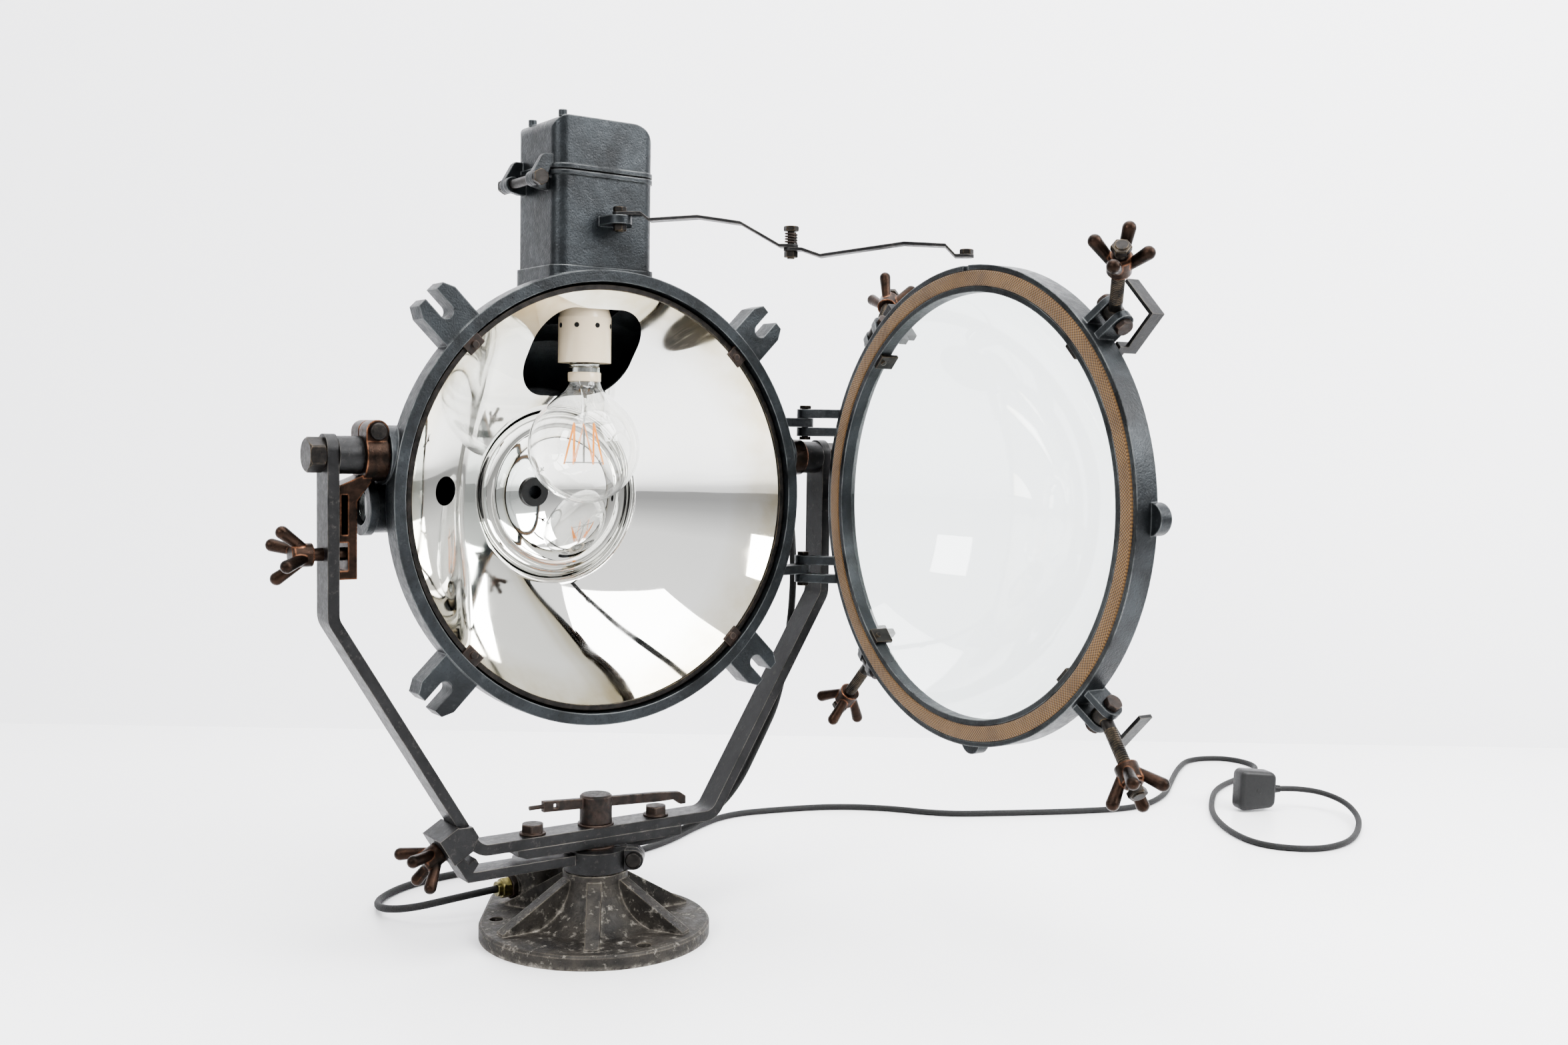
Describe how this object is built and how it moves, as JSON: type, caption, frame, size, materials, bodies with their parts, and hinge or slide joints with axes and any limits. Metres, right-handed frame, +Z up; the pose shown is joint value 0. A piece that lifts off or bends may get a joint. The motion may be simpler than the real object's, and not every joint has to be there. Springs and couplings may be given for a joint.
{
  "type": "searchlight",
  "caption": "Ship's searchlight on a tilting yoke and ribbed base, with a deep mirror drum, a hinged glazed door held by swing bolts, a lamp box on top and a plug-in lead.",
  "frame": {"origin": "centre of the base underside, on the pan axis", "axes": "+Z up along the pan axis, the lamp looks along -Y, the door hinges on the +X side"},
  "size_m": [1.3179, 0.6933, 0.687],
  "materials": {
    "cast_grey": "worn dark blue-grey cast metal, chalky in the hollows",
    "bar_steel": "dark worn steel",
    "bronze": "dark brown bronze with bright copper edges",
    "rusty_steel": "brown, lightly rusted steel",
    "gland_brass": "dull brass",
    "mirror": "silvered, slightly tarnished at the edge",
    "clear_glass": "clear",
    "porcelain": "glazed cream porcelain",
    "moulded_black": "black moulding",
    "cord_black": "black braided lead",
    "canvas": "tan woven gasket",
    "gasket_rubber": "black rubber strip"
  },
  "bodies": {
    "base": {"base_casting": "cast_grey", "pan_post": "bar_steel", "terminal_cover": "bar_steel", "terminal_block": "moulded_black", "gland_locknut": "rusty_steel", "cable_gland": "gland_brass", "mains_lead": "cord_black", "plug": "moulded_black"},
    "pan_lock": {"pan_lock": "rusty_steel"},
    "yoke": {"yoke_bar": "bar_steel", "doubler_plate": "bar_steel", "yoke_bolts": "rusty_steel", "pan_brake": "cast_grey", "brake_bolts": "bar_steel", "tilt_brake": "bronze", "right_bush": "bronze", "trunnion_spacers": "bar_steel", "trunnion_bolts": "rusty_steel", "head_lead": "cord_black"},
    "tilt_wing": {"tilt_wing_screw": "bronze"},
    "pan_wing": {"pan_wing_screw": "bronze"},
    "head": {"drum_casting": "cast_grey", "back_cover": "cast_grey", "lamp_box": "cast_grey", "lid_pin": "bar_steel", "lid_gasket": "gasket_rubber", "head_gland": "gland_brass", "sight_bezel": "cast_grey", "sight_glass": "clear_glass", "reflector": "mirror", "reflector_ring": "bar_steel", "reflector_clips": "rusty_steel", "reflector_grommet": "gland_brass", "bulb_glass": "clear_glass", "bulb_base": "gland_brass", "bulb_filament": "gland_brass", "lamp_holder": "porcelain", "holder_bridge": "bar_steel", "hinge_pins": "bar_steel", "stay_bolt_box": "bar_steel"},
    "lid": {"box_lid": "cast_grey"},
    "door": {"door_ring": "cast_grey", "door_gasket": "canvas", "door_glass": "clear_glass", "glass_clips": "bar_steel", "swing_pins": "bar_steel", "bolt_guards": "bar_steel"},
    "stay_near": {"stay_link_box": "bar_steel", "stay_bolt_middle": "bar_steel", "stay_spring": "rusty_steel"},
    "stay_far": {"stay_link_door": "bar_steel", "stay_bolt_door": "bar_steel"},
    "swing_ur": {"swing_bolt_ur": "rusty_steel"},
    "wings_ur": {"wing_nut_ur": "bronze"},
    "swing_lr": {"swing_bolt_lr": "rusty_steel"},
    "wings_lr": {"wing_nut_lr": "bronze"},
    "swing_ul": {"swing_bolt_ul": "rusty_steel"},
    "wings_ul": {"wing_nut_ul": "bronze"},
    "swing_ll": {"swing_bolt_ll": "rusty_steel"},
    "wings_ll": {"wing_nut_ll": "bronze"}
  },
  "joints": [
    {"name": "pan", "type": "hinge", "parent": "base", "child": "yoke", "pos_m": [0, 0, 0.09], "axis": [0, 0, 1], "range_deg": [-170, 170]},
    {"name": "pan_lock_turn", "type": "hinge", "parent": "base", "child": "pan_lock", "pos_m": [0, 0, 0.1], "axis": [0, 0, 1], "range_deg": [-60, 60]},
    {"name": "tilt", "type": "hinge", "parent": "yoke", "child": "head", "pos_m": [0, 0, 0.406], "axis": [-1, 0, 0], "range_deg": [-6, 60], "deforming": ["head_lead"]},
    {"name": "tilt_wing_turn", "type": "hinge", "parent": "yoke", "child": "tilt_wing", "pos_m": [-0.24, 0, 0.331], "axis": [-1, 0, 0], "continuous": true},
    {"name": "pan_wing_turn", "type": "hinge", "parent": "yoke", "child": "pan_wing", "pos_m": [-0.12037, 0, 0.10234], "axis": [-0.8523, 0, -0.523], "continuous": true},
    {"name": "lid_hinge", "type": "hinge", "parent": "head", "child": "lid", "pos_m": [-0.058, 0, 0.631], "axis": [0, -1, 0], "range_deg": [0, 100]},
    {"name": "door_hinge", "type": "hinge", "parent": "head", "child": "door", "pos_m": [0.207, -0.009, 0.371], "axis": [0, 0, 1], "range_deg": [-87, 0]},
    {"name": "swing_ur_pivot", "type": "hinge", "parent": "door", "child": "swing_ur", "pos_m": [0.22446, -0.36377, 0.51737], "axis": [-0.037, -0.7061, -0.7071], "range_deg": [-46.7, 58.3]},
    {"name": "wings_ur_turn", "type": "hinge", "parent": "swing_ur", "child": "wings_ur", "pos_m": [0.22446, -0.36377, 0.51737], "axis": [-0.5562, -0.5733, 0.6016], "continuous": true},
    {"name": "swing_lr_pivot", "type": "hinge", "parent": "door", "child": "swing_lr", "pos_m": [0.22446, -0.36377, 0.22463], "axis": [0.037, 0.7061, -0.7071], "range_deg": [-25, 80]},
    {"name": "wings_lr_turn", "type": "hinge", "parent": "swing_lr", "child": "wings_lr", "pos_m": [0.22446, -0.36377, 0.22463], "axis": [-0.2099, -0.6863, -0.6964], "continuous": true},
    {"name": "swing_ul_pivot", "type": "hinge", "parent": "door", "child": "swing_ul", "pos_m": [0.23978, -0.07143, 0.51737], "axis": [-0.037, -0.7061, 0.7071], "range_deg": [-12, 128]},
    {"name": "wings_ul_turn", "type": "hinge", "parent": "swing_ul", "child": "wings_ul", "pos_m": [0.23978, -0.07143, 0.51737], "axis": [0.644, 0.5242, 0.5572], "continuous": true},
    {"name": "swing_ll_pivot", "type": "hinge", "parent": "door", "child": "swing_ll", "pos_m": [0.23978, -0.07143, 0.22463], "axis": [0.037, 0.7061, 0.7071], "range_deg": [-50, 90]},
    {"name": "wings_ll_turn", "type": "hinge", "parent": "swing_ll", "child": "wings_ll", "pos_m": [0.23978, -0.07143, 0.22463], "axis": [0.037, 0.7061, -0.7071], "continuous": true},
    {"name": "stay_box_pivot", "type": "hinge", "parent": "head", "child": "stay_near", "pos_m": [0.0027, -0.027, 0.6], "axis": [0, 0, 1], "range_deg": [0, 46.5]},
    {"name": "stay_middle_pivot", "type": "hinge", "parent": "stay_near", "child": "stay_far", "pos_m": [0.10849, -0.12048, 0.577], "axis": [0, 0, 1], "range_deg": [-180, 0]}
  ],
  "couplings": [
    {"joint": "stay_box_pivot", "follows": "door_hinge", "ratio": -0.53448},
    {"joint": "stay_middle_pivot", "follows": "door_hinge", "ratio": 2.069}
  ]
}
